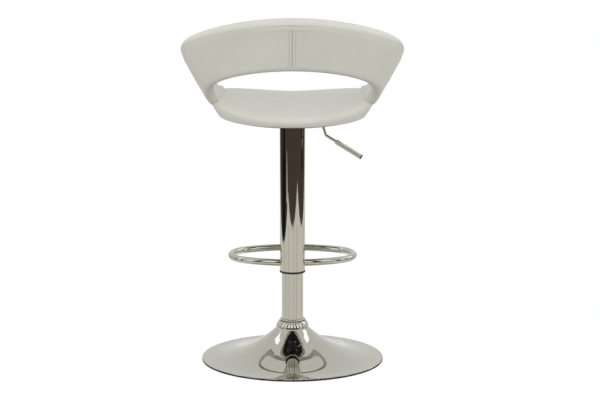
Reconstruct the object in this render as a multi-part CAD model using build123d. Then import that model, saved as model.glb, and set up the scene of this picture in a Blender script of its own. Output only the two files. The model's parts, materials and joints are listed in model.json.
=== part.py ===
from build123d import *
import math
import os

os.makedirs("parts", exist_ok=True)

# Gas-lift swivel stool with a wrap-round back, shown at its lowest seat height.
# Millimetres. +Z is up, +Y is the sitter's front, +X is the sitter's right.
# The origin is on the floor, on the axis of the column.

# ---------------------------------------------------------------- driving sizes
# Clearances
SLIDE_GAP = 0.3        # between a sliding or turning piece and its neighbour
RUN_GAP = 0.08         # radial clearance of a shaft in its bearing
SEAT_GAP = 0.05        # between a fixed round piece and its seat
SOFT_GAP = 0.4         # between upholstery and what it is wrapped on

# Foot
BASE_RADIUS = 210.0
FLOOR_RING_HEIGHT = 2.0
FLOOR_RING_WIDTH = 14.0
BOTTOM_PLATE_THICK = 1.0
RIM_HEIGHT = 5.6       # top of the rim above the floor
RIM_ROUND = 2.4
SHELL_WALL = 1.5
NECK_RADIUS = 38.0     # trumpet at the collar
NECK_HEIGHT = 75.5
COLLAR_HEIGHT = 22.5
COLLAR_TOP_RADIUS = 30.8
COLLAR_BULGE = 2.0
COLLAR_LIP_RADIUS = 28.6
COLLAR_LIP_HEIGHT = 3.2
SEAL_HEIGHT = 1.6
WEIGHT_THICK = 5.0
WEIGHT_STEP_THICK = 8.0
WEIGHT_CLEARANCE = 4.5         # between the weight's edges and the shell over them
WEIGHT_SCREW_INSET = 24.0      # from the weight's edge to its screws
SCREW_COUNT = 4
SCREW_RADIUS = 2.0
SCREW_LENGTH = 5.0
SCREW_HEAD_RADIUS = 3.6
SCREW_HEAD_THICK = 1.0
SOCKET_WALL = 3.95
SOCKET_LEDGE_HEIGHT = 4.0
SOCKET_FLANGE_HEIGHT = 4.0
SOCKET_FLANGE_REACH = 5.0

# Column tube and its bearing
TUBE_RADIUS = 25.0
TUBE_WALL = 2.0
TUBE_FOOT = 16.0       # lower end of the tube above the floor
TUBE_LENGTH = 424.0
TUBE_TAPER = 0.8       # how much the tapered foot loses in radius
FLOOR_PLATE_THICK = 4.0
RACE_THICK = 1.5
RACE_RADIUS = 11.0
BALL_RADIUS = 1.5
BALL_COUNT = 10
BALL_CIRCLE = 8.0
CAGE_THICK = 1.2
BUSH_LENGTH = 124.0
BUSH_FLANGE = 4.0

# Piston rod
ROD_RADIUS = 5.0
ROD_END_RADIUS = 4.0
CLIP_RADIUS = 8.0
CLIP_THICK = 1.5
BUFFER_RADIUS = 13.0
BUFFER_HEIGHT = 18.0
PISTON_THICK = 12.0

# Gas cylinder
LIFT_STROKE = 210.0
CYLINDER_RADIUS = 14.0
CYLINDER_WALL = 1.5
CYLINDER_TAPER = 0.7
TAPER_LENGTH = 40.0
BUFFER_CLEARANCE = 2.0
ROD_GUIDE_LENGTH = 24.0
VALVE_BODY_LENGTH = 30.0
CYLINDER_CAP = 18.0
CYLINDER_TOP_GAP = 3.0         # between the cylinder and the mechanism
VALVE_PIN_RADIUS = 2.0
VALVE_PIN_LENGTH = 46.0

# Cover sleeve and footrest
SLEEVE_RADIUS = 29.25
SLEEVE_WALL = 1.5
SLEEVE_FOOT = 210.0
SLEEVE_LENGTH = 344.0
SLEEVE_BUSH_LENGTH = 18.0
SLEEVE_BUSH_LIP = 2.0
SLEEVE_CAP_LENGTH = 12.0
SLEEVE_TOP_GAP = 1.0           # between the sleeve and the mechanism
FOOTREST_HEIGHT = 229.0
FOOTREST_TUBE_RADIUS = 8.0
FOOTREST_TUBE_WALL = 1.5
FOOTREST_HALF_WIDTH = 142.7    # to the middle of the tube
FOOTREST_HALF_DEPTH = 80.0
FOOTREST_END_RADIUS = 60.0

# Mechanism under the seat
SOCKET_HEAD_WALL = 5.0
SOCKET_HEAD_LENGTH = 46.0
HOUSING_THICK = 3.0
HOUSING_INNER_WIDTH = 30.0
HOUSING_REAR = 30.0
HOUSING_FRONT = 48.0
HOUSING_WALL_HEIGHT = 15.0
MOUNT_PLATE_LENGTH = 150.0
MOUNT_PLATE_WIDTH = 120.0
MOUNT_PLATE_THICK = 3.0
BOLT_SPACING_X = 126.0
BOLT_SPACING_Y = 96.0
BOLT_RADIUS = 3.0
BOLT_HEAD_RADIUS = 5.0
BOLT_HEAD_HEIGHT = 4.0
WASHER_RADIUS = 7.5
WASHER_THICK = 1.2
T_NUT_RADIUS = 4.2
T_NUT_FLANGE_RADIUS = 9.0
T_NUT_FLANGE_THICK = 1.2
PLATE_CLEARANCE = 1.0          # between the plate and the under-cover round it

# Lever
LEVER_RADIUS = 3.2
LEVER_PIVOT_X = 32.0
LEVER_INNER_END = 4.0          # past the column axis
LEVER_BEND_X = 66.0
LEVER_DROP_RUN = 11.0
LEVER_DROP = 36.0
LEVER_REACH = 79.7             # from the lower bend to the tip, across
LEVER_FALL = 49.6              # from the lower bend to the tip, down
LEVER_BEND_RADIUS = 9.0
LEVER_BOSS_RADIUS = 6.0
LEVER_PIN_RADIUS = 2.5
LEVER_SIDE_PLAY = 1.0
GRIP_RADIUS = 5.7
GRIP_LENGTH = 67.0
GRIP_CAP_LENGTH = 3.0

# Seat
BOARD_RADIUS = 152.0
BOARD_THICK = 12.0
UNDER_COVER_THICK = 0.8
CUSHION_BOTTOM_DEPTH = 165.0   # reach of the lower outline to front and rear
CUSHION_BOTTOM_HALF_WIDTH = 171.0
CUSHION_HALF_WIDTH = 197.0
CUSHION_REAR = 178.0
CUSHION_FRONT = 192.0
CUSHION_SQUARENESS = 3.4       # power of the front outline; 2 is an ellipse
CUSHION_WRAP = 1.5             # how far the cushion reaches below the board
CUSHION_RISE = 32.0            # from the top of the board to the cushion's side edges
CUSHION_TOP_ROUND = 15.0
CUSHION_BOTTOM_ROUND = 5.0
DISH_DEPTH = 14.0              # how far the middle lies below the side edges
DISH_HALF_WIDTH = 165.0
FRONT_POINTS = 12              # points on the squarer half of the outline

# Back band. Its foot line, seen from above, is half an ellipse round the rear
# that runs on in two longer quarter ellipses towards the front.
BACK_FOOT_HEIGHT = 12.0        # foot line above the top of the board
BACK_FOOT_HALF_WIDTH = 169.8
BACK_CENTRE_Y = -30.0
BACK_REAR_DEPTH = 130.4
BACK_FRONT_DEPTH = 345.0
BACK_ARM_LENGTH = 140.0        # from the widest place to the arm's end
BACK_THICK = 34.0
BACK_ARM_THICK = 26.0
BACK_HEIGHT = 238.4            # top of the rear above the foot line
BACK_ARCH_HEIGHT = 111.0       # lower edge of the rear above the foot line
BACK_REAR_FALL = 0.57          # slope of the top edge at the rear
BACK_END_FALL = 1.43           # slope that it would reach at the arm's end
BACK_ARM_HEIGHT = 28.0         # height at which the top edge levels off along the arm
BACK_ARM_SOFTNESS = 20.0
BACK_LANDING = 6.6             # how far behind the widest place the arm lands
BACK_LANDING_SOFTNESS = 0.05
BACK_ARCH_POWER = 0.62
BACK_REAR_LEAN = 12.9          # degrees from upright
BACK_SIDE_LEAN = 28.1
BACK_REAR_BOW = 1.0            # how far the rear bows out of its chord
BACK_SIDE_BOW = 8.6            # and the sides
BACK_BOW_HEIGHT = 150.0        # band height at which the bow is full
BACK_STATIONS = 8              # sections on each quarter
BACK_FLATTEST = 0.94           # greatest share of its height that a section is thick
PANEL_THICK = 9.0
PANEL_MARGIN = 27.0
PANEL_SHORTER = 75.0           # the panel ends this far behind the arm's end

# Brackets between the seat board and the back panel
BRACKET_THICK = 3.0
BRACKET_WIDTH = 44.0
BRACKET_FOOT = 50.0
BRACKET_RISE = 78.0
BRACKET_Y = 0.0
BRACKET_CLEARANCE = 0.9        # upright to panel; the panel's twist takes up most of it
BRACKET_SCREW_RADIUS = 2.0
BRACKET_SCREW_HEAD = 4.0
BRACKET_SCREW_HEAD_THICK = 2.0
BRACKET_SCREW_LENGTH = 8.0
BRACKET_SCREW_SPACING = 24.0

# --------------------------------------------------------------- derived places
plate_z = FLOOR_RING_HEIGHT + BOTTOM_PLATE_THICK
collar_z = NECK_HEIGHT
collar_top = collar_z + COLLAR_HEIGHT
seal_z = collar_top - COLLAR_LIP_HEIGHT - SEAL_HEIGHT
tube_top = TUBE_FOOT + TUBE_LENGTH
tube_bore = TUBE_RADIUS - TUBE_WALL
socket_radius = TUBE_RADIUS + SEAT_GAP + SOCKET_WALL

race_z = TUBE_FOOT + FLOOR_PLATE_THICK
ball_z = race_z + RACE_THICK
upper_race_z = ball_z + 2 * BALL_RADIUS + SEAT_GAP
rod_shoulder = upper_race_z + RACE_THICK
clip_z = TUBE_FOOT - SLIDE_GAP - CLIP_THICK

cylinder_foot = rod_shoulder + BUFFER_HEIGHT + BUFFER_CLEARANCE
cylinder_bore = CYLINDER_RADIUS - CYLINDER_WALL
piston_z = cylinder_foot + ROD_GUIDE_LENGTH + LIFT_STROKE + SLIDE_GAP

sleeve_top = SLEEVE_FOOT + SLEEVE_LENGTH
housing_z = sleeve_top + SLEEVE_TOP_GAP
housing_top = housing_z + HOUSING_THICK + HOUSING_WALL_HEIGHT
board_z = housing_top + MOUNT_PLATE_THICK
cylinder_top = housing_z - CYLINDER_TOP_GAP
valve_z = cylinder_top - CYLINDER_CAP - VALVE_BODY_LENGTH
lever_z = housing_z + HOUSING_THICK + HOUSING_WALL_HEIGHT / 2
valve_pin_top = lever_z - LEVER_RADIUS - SLIDE_GAP
socket_head_radius = CYLINDER_RADIUS + SEAT_GAP + SOCKET_HEAD_WALL

cushion_z = board_z - CUSHION_WRAP
board_top = board_z + BOARD_THICK
cushion_top = board_top + CUSHION_RISE
back_foot_z = board_top + BACK_FOOT_HEIGHT

nodes = {}


def ring(outer, inner, low, high):
    """A plain round tube between two heights."""
    body = Cylinder(outer, high - low, align=(Align.CENTER, Align.CENTER, Align.MIN))
    hole = Cylinder(inner, high - low, align=(Align.CENTER, Align.CENTER, Align.MIN))
    return Pos(0, 0, low) * (body - hole)


def disc(radius, low, high):
    """A plain round disc between two heights."""
    return Pos(0, 0, low) * Cylinder(radius, high - low, align=(Align.CENTER, Align.CENTER, Align.MIN))


def turned(*points):
    """A solid turned about the column axis from (radius, height) corners."""
    outline = Polyline(*[(r, 0, z) for r, z in points], close=True)
    return revolve(make_face(outline), axis=Axis.Z)


def grid(spacing_x, spacing_y):
    """The four corners of a rectangle about the axis."""
    return [(sx * spacing_x / 2, sy * spacing_y / 2) for sx in (-1, 1) for sy in (-1, 1)]


# ------------------------------------------------------------------------- foot
def make_foot():
    rim_x = BASE_RADIUS - RIM_ROUND
    run = rim_x - NECK_RADIUS
    rise = NECK_HEIGHT - RIM_HEIGHT
    flare = (run ** 2 + rise ** 2) / (2 * rise)    # tangent to the level rim
    middle_z = RIM_HEIGHT + flare

    def on_flare(radius, height):
        return rim_x - math.sqrt(radius ** 2 - (middle_z - height) ** 2)

    def halfway(radius):
        angle = math.asin((rim_x - NECK_RADIUS) / flare) / 2
        return (rim_x - radius * math.sin(angle), 0, middle_z - radius * math.cos(angle))

    inner = flare + SHELL_WALL
    neck_inner = on_flare(inner, NECK_HEIGHT)
    rim_low = FLOOR_RING_HEIGHT
    round_mid = RIM_ROUND * (1 - math.sqrt(0.5))
    outline = [
        ThreePointArc((NECK_RADIUS, 0, NECK_HEIGHT), halfway(flare), (rim_x, 0, RIM_HEIGHT)),
        ThreePointArc(
            (rim_x, 0, RIM_HEIGHT),
            (BASE_RADIUS - round_mid, 0, RIM_HEIGHT - round_mid),
            (BASE_RADIUS, 0, RIM_HEIGHT - RIM_ROUND),
        ),
        Line((BASE_RADIUS, 0, RIM_HEIGHT - RIM_ROUND), (BASE_RADIUS, 0, rim_low)),
        Line((BASE_RADIUS, 0, rim_low), (rim_x, 0, rim_low)),
        Line((rim_x, 0, rim_low), (rim_x, 0, RIM_HEIGHT - SHELL_WALL)),
        ThreePointArc((rim_x, 0, RIM_HEIGHT - SHELL_WALL), halfway(inner), (neck_inner, 0, NECK_HEIGHT)),
        Line((neck_inner, 0, NECK_HEIGHT), (NECK_RADIUS, 0, NECK_HEIGHT)),
    ]
    nodes["base_shell"] = revolve(make_face(outline), axis=Axis.Z)

    nodes["floor_ring"] = ring(BASE_RADIUS, BASE_RADIUS - FLOOR_RING_WIDTH, 0, FLOOR_RING_HEIGHT)
    plate_radius = rim_x - SLIDE_GAP
    bottom_plate = disc(plate_radius, FLOOR_RING_HEIGHT, plate_z)

    ledge_z = plate_z + WEIGHT_THICK
    weight_top = ledge_z + WEIGHT_STEP_THICK
    weight_radius = on_flare(inner, ledge_z) - WEIGHT_CLEARANCE
    weight = disc(weight_radius, plate_z, ledge_z)
    weight += disc(on_flare(inner, weight_top) - WEIGHT_CLEARANCE, plate_z, weight_top)
    weight -= disc(socket_radius + SEAT_GAP, plate_z, weight_top)

    screws = []
    for place in PolarLocations(weight_radius - WEIGHT_SCREW_INSET, SCREW_COUNT):
        shank = disc(SCREW_RADIUS, FLOOR_RING_HEIGHT, FLOOR_RING_HEIGHT + SCREW_LENGTH)
        head = disc(SCREW_HEAD_RADIUS, FLOOR_RING_HEIGHT - SCREW_HEAD_THICK, FLOOR_RING_HEIGHT)
        hole = disc(SCREW_RADIUS + SEAT_GAP, FLOOR_RING_HEIGHT, FLOOR_RING_HEIGHT + SCREW_LENGTH)
        screws.append(place * (shank + head))
        weight -= place * hole
        bottom_plate -= place * hole
    nodes["base_weight"] = weight
    nodes["bottom_plate"] = bottom_plate
    nodes["weight_screws"] = Compound(children=screws)


def make_collar():
    inner = socket_radius + SEAT_GAP
    seal_radius = COLLAR_LIP_RADIUS - COLLAR_BULGE
    middle = (
        (NECK_RADIUS + COLLAR_TOP_RADIUS) / 2 + COLLAR_BULGE,
        0,
        (collar_z + seal_z) / 2,
    )
    outline = [
        ThreePointArc((NECK_RADIUS, 0, collar_z), middle, (COLLAR_TOP_RADIUS, 0, seal_z)),
        Line((COLLAR_TOP_RADIUS, 0, seal_z), (inner, 0, seal_z)),
        Line((inner, 0, seal_z), (inner, 0, collar_z)),
        Line((inner, 0, collar_z), (NECK_RADIUS, 0, collar_z)),
    ]
    nodes["base_collar"] = revolve(make_face(outline), axis=Axis.Z)
    tube_clear = TUBE_RADIUS + SEAT_GAP
    nodes["collar_seal"] = ring(seal_radius, tube_clear, seal_z, seal_z + SEAL_HEIGHT)
    lip = ring(COLLAR_LIP_RADIUS, tube_clear, seal_z + SEAL_HEIGHT, collar_top)
    top_rim = lip.faces().sort_by(Axis.Z)[-1].edges().sort_by(SortBy.LENGTH)[-1]
    nodes["collar_lip"] = fillet(top_rim, COLLAR_LIP_HEIGHT / 2)


def make_socket():
    """The tube welded into the foot, tapered inside like the column's end."""
    foot_bore = TUBE_RADIUS - TUBE_TAPER + SEAT_GAP
    ledge_bore = tube_bore - TUBE_TAPER
    nodes["base_socket"] = turned(
        (socket_radius, plate_z),
        (socket_radius, collar_z - SOCKET_FLANGE_HEIGHT),
        (socket_radius + SOCKET_FLANGE_REACH, collar_z - SOCKET_FLANGE_HEIGHT),
        (socket_radius + SOCKET_FLANGE_REACH, collar_z),
        (socket_radius, collar_z),
        (socket_radius, seal_z),
        (TUBE_RADIUS + SEAT_GAP, seal_z),
        (foot_bore, TUBE_FOOT),
        (ledge_bore, TUBE_FOOT),
        (ledge_bore, TUBE_FOOT - SOCKET_LEDGE_HEIGHT),
        (foot_bore, TUBE_FOOT - SOCKET_LEDGE_HEIGHT),
        (foot_bore, plate_z),
    )


# ----------------------------------------------------------------------- column
def make_column():
    nodes["column_tube"] = turned(
        (TUBE_RADIUS, seal_z),
        (TUBE_RADIUS, tube_top),
        (tube_bore, tube_top),
        (tube_bore, seal_z),
        (tube_bore - TUBE_TAPER, TUBE_FOOT),
        (TUBE_RADIUS - TUBE_TAPER, TUBE_FOOT),
    )
    plate_radius = tube_bore - TUBE_TAPER - SEAT_GAP
    nodes["column_floor"] = ring(plate_radius, ROD_END_RADIUS + SLIDE_GAP, TUBE_FOOT, race_z)

    nodes["lower_race"] = ring(RACE_RADIUS, ROD_END_RADIUS + SLIDE_GAP, race_z, ball_z)
    nodes["upper_race"] = ring(RACE_RADIUS, ROD_END_RADIUS + SEAT_GAP, upper_race_z, rod_shoulder)
    ball_middle = ball_z + BALL_RADIUS
    cage = ring(
        RACE_RADIUS - SLIDE_GAP,
        ROD_END_RADIUS + 2 * SLIDE_GAP,
        ball_middle - CAGE_THICK / 2,
        ball_middle + CAGE_THICK / 2,
    )
    balls = []
    for place in PolarLocations(BALL_CIRCLE, BALL_COUNT):
        balls.append(place * Pos(0, 0, ball_middle) * Sphere(BALL_RADIUS))
        cage -= place * Pos(0, 0, ball_middle) * Cylinder(BALL_RADIUS + SEAT_GAP, 2 * CAGE_THICK)
    nodes["bearing_cage"] = cage
    nodes["bearing_balls"] = Compound(children=balls)

    bush_bore = CYLINDER_RADIUS + RUN_GAP
    nodes["guide_bush"] = turned(
        (bush_bore, tube_top - BUSH_LENGTH),
        (tube_bore - SEAT_GAP, tube_top - BUSH_LENGTH),
        (tube_bore - SEAT_GAP, tube_top),
        (TUBE_RADIUS, tube_top),
        (TUBE_RADIUS, tube_top + BUSH_FLANGE),
        (bush_bore, tube_top + BUSH_FLANGE),
    )


def make_rod():
    rod_top = piston_z + PISTON_THICK
    nodes["piston_rod"] = turned(
        (0, clip_z - CLIP_THICK),
        (ROD_END_RADIUS, clip_z - CLIP_THICK),
        (ROD_END_RADIUS, rod_shoulder),
        (ROD_RADIUS, rod_shoulder),
        (ROD_RADIUS, rod_top),
        (0, rod_top),
    )
    nodes["rod_clip"] = ring(CLIP_RADIUS, ROD_END_RADIUS + SEAT_GAP, clip_z, clip_z + CLIP_THICK)
    nodes["stop_buffer"] = ring(
        BUFFER_RADIUS, ROD_RADIUS + SEAT_GAP, rod_shoulder, rod_shoulder + BUFFER_HEIGHT
    )
    nodes["piston_head"] = ring(cylinder_bore - RUN_GAP, ROD_RADIUS + SEAT_GAP, piston_z, rod_top)


def make_cylinder():
    cap_z = cylinder_top - CYLINDER_CAP
    pin_bore = VALVE_PIN_RADIUS + RUN_GAP
    nodes["gas_cylinder"] = turned(
        (CYLINDER_RADIUS, cylinder_foot),
        (CYLINDER_RADIUS, cylinder_top - TAPER_LENGTH),
        (CYLINDER_RADIUS - CYLINDER_TAPER, cylinder_top),
        (pin_bore, cylinder_top),
        (pin_bore, cap_z),
        (cylinder_bore, cap_z),
        (cylinder_bore, cylinder_foot),
    )
    nodes["rod_guide"] = ring(
        cylinder_bore - SEAT_GAP,
        ROD_RADIUS + RUN_GAP,
        cylinder_foot,
        cylinder_foot + ROD_GUIDE_LENGTH,
    )
    nodes["valve_body"] = ring(cylinder_bore - SEAT_GAP, pin_bore, valve_z, cap_z)
    nodes["valve_pin"] = disc(VALVE_PIN_RADIUS, valve_pin_top - VALVE_PIN_LENGTH, valve_pin_top)


# ----------------------------------------------------------- sleeve and footrest
def make_sleeve():
    bore = SLEEVE_RADIUS - SLEEVE_WALL
    nodes["cover_sleeve"] = ring(SLEEVE_RADIUS, bore, SLEEVE_FOOT, sleeve_top)
    nodes["sleeve_bush"] = turned(
        (TUBE_RADIUS + SLIDE_GAP, SLEEVE_FOOT - SLEEVE_BUSH_LIP),
        (SLEEVE_RADIUS, SLEEVE_FOOT - SLEEVE_BUSH_LIP),
        (SLEEVE_RADIUS, SLEEVE_FOOT),
        (bore - SEAT_GAP, SLEEVE_FOOT),
        (bore - SEAT_GAP, SLEEVE_FOOT + SLEEVE_BUSH_LENGTH),
        (TUBE_RADIUS + SLIDE_GAP, SLEEVE_FOOT + SLEEVE_BUSH_LENGTH),
    )
    nodes["sleeve_cap"] = turned(
        (socket_head_radius + SEAT_GAP, sleeve_top - SLEEVE_CAP_LENGTH),
        (bore - SEAT_GAP, sleeve_top - SLEEVE_CAP_LENGTH),
        (bore - SEAT_GAP, sleeve_top),
        (SLEEVE_RADIUS, sleeve_top),
        (SLEEVE_RADIUS, housing_z),
        (socket_head_radius + SEAT_GAP, housing_z),
    )


def make_footrest():
    """An oval of four arcs in a level plane, cut to fit the sleeve at its rear."""
    end_x = FOOTREST_HALF_WIDTH - FOOTREST_END_RADIUS
    long_radius = (end_x ** 2 + FOOTREST_HALF_DEPTH ** 2 - FOOTREST_END_RADIUS ** 2) / (
        2 * (FOOTREST_HALF_DEPTH - FOOTREST_END_RADIUS)
    )
    half_turn = math.degrees(math.asin(end_x / (long_radius - FOOTREST_END_RADIUS)))
    start_turn = math.degrees(math.asin(SLEEVE_RADIUS / 2 / long_radius))
    end_turn = 2 * (90 - half_turn)
    front_y = 2 * FOOTREST_HALF_DEPTH
    path = Wire([
        CenterArc((0, long_radius), long_radius, start_turn - 90, half_turn - start_turn),
        CenterArc((end_x, FOOTREST_HALF_DEPTH), FOOTREST_END_RADIUS, half_turn - 90, end_turn),
        CenterArc((0, front_y - long_radius), long_radius, 90 - half_turn, 2 * half_turn),
        CenterArc((-end_x, FOOTREST_HALF_DEPTH), FOOTREST_END_RADIUS, 90 + half_turn, end_turn),
        CenterArc((0, long_radius), long_radius, 270 - half_turn, half_turn - start_turn),
    ])
    start = Plane(path @ 0, z_dir=path % 0)
    outer = sweep(start * Circle(FOOTREST_TUBE_RADIUS), path=path)
    bore = sweep(start * Circle(FOOTREST_TUBE_RADIUS - FOOTREST_TUBE_WALL), path=path)
    height = 4 * FOOTREST_TUBE_RADIUS
    sleeve_space = Cylinder(SLEEVE_RADIUS + SEAT_GAP, height)
    nodes["footrest_ring"] = Pos(0, 0, FOOTREST_HEIGHT) * (outer - bore - sleeve_space)


# -------------------------------------------------------------------- mechanism
def make_mechanism():
    bore = CYLINDER_RADIUS + SEAT_GAP
    taper_z = cylinder_top - TAPER_LENGTH
    top_bore = bore - CYLINDER_TAPER * (housing_z - taper_z) / TAPER_LENGTH
    nodes["taper_socket"] = turned(
        (bore, housing_z - SOCKET_HEAD_LENGTH),
        (socket_head_radius, housing_z - SOCKET_HEAD_LENGTH),
        (socket_head_radius, housing_z),
        (top_bore, housing_z),
        (bore, taper_z),
    )

    length = HOUSING_REAR + HOUSING_FRONT
    middle_x = (HOUSING_FRONT - HOUSING_REAR) / 2
    outer_width = HOUSING_INNER_WIDTH + 2 * HOUSING_THICK
    height = HOUSING_THICK + HOUSING_WALL_HEIGHT
    low = (Align.CENTER, Align.CENTER, Align.MIN)
    channel = Box(length, outer_width, height, align=low)
    channel -= Pos(0, 0, HOUSING_THICK) * Box(length, HOUSING_INNER_WIDTH, height, align=low)
    channel = Pos(middle_x, 0, housing_z) * channel
    channel -= disc(VALVE_PIN_RADIUS + 2 * SLIDE_GAP, housing_z, housing_z + HOUSING_THICK)
    pin_place = Pos(LEVER_PIVOT_X, 0, lever_z) * Rot(90, 0, 0)
    channel -= pin_place * Cylinder(LEVER_PIN_RADIUS + SEAT_GAP, outer_width)
    nodes["mechanism_housing"] = channel
    nodes["lever_pin"] = pin_place * Cylinder(LEVER_PIN_RADIUS, outer_width)

    plate = Box(MOUNT_PLATE_LENGTH, MOUNT_PLATE_WIDTH, MOUNT_PLATE_THICK, align=low)
    plate = Pos(0, 0, housing_top) * plate
    corners = grid(BOLT_SPACING_X, BOLT_SPACING_Y)
    washer_z = housing_top - WASHER_THICK
    bolt_top = board_top - T_NUT_FLANGE_THICK
    bolts = []
    washers = []
    nuts = []
    for x, y in corners:
        plate -= Pos(x, y, 0) * disc(BOLT_RADIUS + SLIDE_GAP, housing_top, board_z)
        bolt = disc(BOLT_RADIUS, washer_z, bolt_top)
        bolt += disc(BOLT_HEAD_RADIUS, washer_z - BOLT_HEAD_HEIGHT, washer_z)
        bolts.append(Pos(x, y, 0) * bolt)
        washer = ring(WASHER_RADIUS, BOLT_RADIUS + SLIDE_GAP, washer_z, housing_top)
        washers.append(Pos(x, y, 0) * washer)
        nut = ring(T_NUT_RADIUS, BOLT_RADIUS + SEAT_GAP, board_z, board_top)
        nut += ring(T_NUT_FLANGE_RADIUS, BOLT_RADIUS + SEAT_GAP, board_top, board_top + T_NUT_FLANGE_THICK)
        nuts.append(Pos(x, y, 0) * nut)
    nodes["mounting_plate"] = plate
    nodes["plate_bolts"] = Compound(children=bolts)
    nodes["plate_washers"] = Compound(children=washers)
    nodes["board_nuts"] = Compound(children=nuts)


def make_lever():
    """A bent rod that leaves the housing level, drops past the sleeve and slants out."""
    knee = (LEVER_BEND_X + LEVER_DROP_RUN, 0, lever_z - LEVER_DROP)
    tip = (knee[0] + LEVER_REACH, 0, knee[2] - LEVER_FALL)
    path = FilletPolyline(
        (-LEVER_INNER_END, 0, lever_z), (LEVER_BEND_X, 0, lever_z), knee, tip, radius=LEVER_BEND_RADIUS
    )
    bar = sweep(Plane(path @ 0, z_dir=path % 0) * Circle(LEVER_RADIUS), path=path)
    boss_width = HOUSING_INNER_WIDTH - 2 * LEVER_SIDE_PLAY
    pivot = Pos(LEVER_PIVOT_X, 0, lever_z) * Rot(90, 0, 0)
    bar += pivot * Cylinder(LEVER_BOSS_RADIUS, boss_width)
    bar -= pivot * Cylinder(LEVER_PIN_RADIUS + RUN_GAP, boss_width)

    slope = (Vector(*tip) - Vector(*knee)).normalized()
    grip_start = Vector(*tip) - slope * GRIP_LENGTH
    grip_plane = Plane(grip_start, z_dir=slope)
    bore = LEVER_RADIUS + SEAT_GAP
    grip = grip_plane * ring(GRIP_RADIUS, bore, 0, GRIP_LENGTH)
    cap = grip_plane * disc(GRIP_RADIUS, GRIP_LENGTH, GRIP_LENGTH + GRIP_CAP_LENGTH)
    nodes["lever_rod"] = bar
    nodes["lever_grip"] = grip
    nodes["lever_grip_cap"] = cap


# ------------------------------------------------------------------------- seat
def cushion_outline(half_width, rear, front, height):
    """Half an ellipse behind the column's axis and a squarer half in front of it."""
    rear_half = EllipticalCenterArc((0, 0), half_width, rear, start_angle=180, arc_size=180)
    points = []
    for i in range(1, FRONT_POINTS):
        angle = math.pi * i / FRONT_POINTS
        c, s = math.cos(angle), math.sin(angle)
        reach_x = math.copysign(abs(c) ** (2 / CUSHION_SQUARENESS), c)
        points.append((half_width * reach_x, front * s ** (2 / CUSHION_SQUARENESS)))
    points = [(half_width, 0)] + points + [(-half_width, 0)]
    front_half = Spline(points, tangents=[(0, 1), (0, -1)])
    return Pos(0, 0, height) * make_face([rear_half, front_half])


def cushion_form(grow):
    """The seat cushion as a dished bowl between two outlines, larger all round by grow."""
    low_depth = CUSHION_BOTTOM_DEPTH + grow
    low = cushion_outline(
        CUSHION_BOTTOM_HALF_WIDTH + grow, low_depth, low_depth, cushion_z - grow
    )
    high = cushion_outline(
        CUSHION_HALF_WIDTH + grow, CUSHION_REAR + grow, CUSHION_FRONT + grow, cushion_top + grow
    )
    bowl = loft([low, high])
    upper_rim = bowl.faces().sort_by(Axis.Z)[-1].edges()
    bowl = fillet(upper_rim, CUSHION_TOP_ROUND)
    lower_rim = bowl.faces().sort_by(Axis.Z)[0].edges()
    bowl = fillet(lower_rim, CUSHION_BOTTOM_ROUND)
    dish_radius = (DISH_HALF_WIDTH ** 2 + DISH_DEPTH ** 2) / (2 * DISH_DEPTH)
    trough = Rot(90, 0, 0) * Cylinder(dish_radius, 2 * (CUSHION_REAR + CUSHION_FRONT))
    return bowl - Pos(0, 0, cushion_top + grow - DISH_DEPTH + dish_radius) * trough


def bracket_bend_x():
    """Where the strap bends up, so that its flat upright clears the back panel's inner face.

    The face is nearest at the panel's lower edge, where it bows least, and at the
    strap's front edge, where the foot line has drawn in.
    """
    lean = math.radians(BACK_SIDE_LEAN)
    lower, upper = back_edges(BRACKET_Y)
    half_height = (upper - lower) / 2 / math.cos(lean)
    least_bow = back_bow(BRACKET_Y, 1.0) * (1 - (1 - PANEL_MARGIN / half_height) ** 2)
    front = BRACKET_Y + BRACKET_WIDTH / 2 - BACK_CENTRE_Y
    drawn_in = BACK_FOOT_HALF_WIDTH * (1 - math.sqrt(1 - (front / BACK_FRONT_DEPTH) ** 2))
    fall = BACK_FOOT_HEIGHT - BRACKET_THICK / 2
    offset = (PANEL_THICK + BRACKET_THICK) / 2 + BRACKET_CLEARANCE - least_bow
    return BACK_FOOT_HALF_WIDTH - drawn_in - fall * math.tan(lean) - offset / math.cos(lean)


def bracket_form(side, grow):
    """A strap bent up from the board into the back, on one side of the seat."""
    lean = math.radians(BACK_SIDE_LEAN)
    bend = (bracket_bend_x(), 0, board_top + BRACKET_THICK / 2)
    foot = (bend[0] - BRACKET_FOOT, 0, bend[2])
    head = (
        bend[0] + BRACKET_RISE * math.sin(lean),
        0,
        bend[2] + BRACKET_RISE * math.cos(lean),
    )
    line = FilletPolyline(foot, bend, head, radius=2 * BRACKET_THICK)
    section = Rectangle(BRACKET_THICK + 2 * grow, BRACKET_WIDTH + 2 * grow)
    strap = sweep(Plane(foot, x_dir=(0, 0, 1), z_dir=(1, 0, 0)) * section, path=line)
    strap = Pos(0, BRACKET_Y, 0) * strap
    return strap if side > 0 else mirror(strap, about=Plane.YZ)


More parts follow.
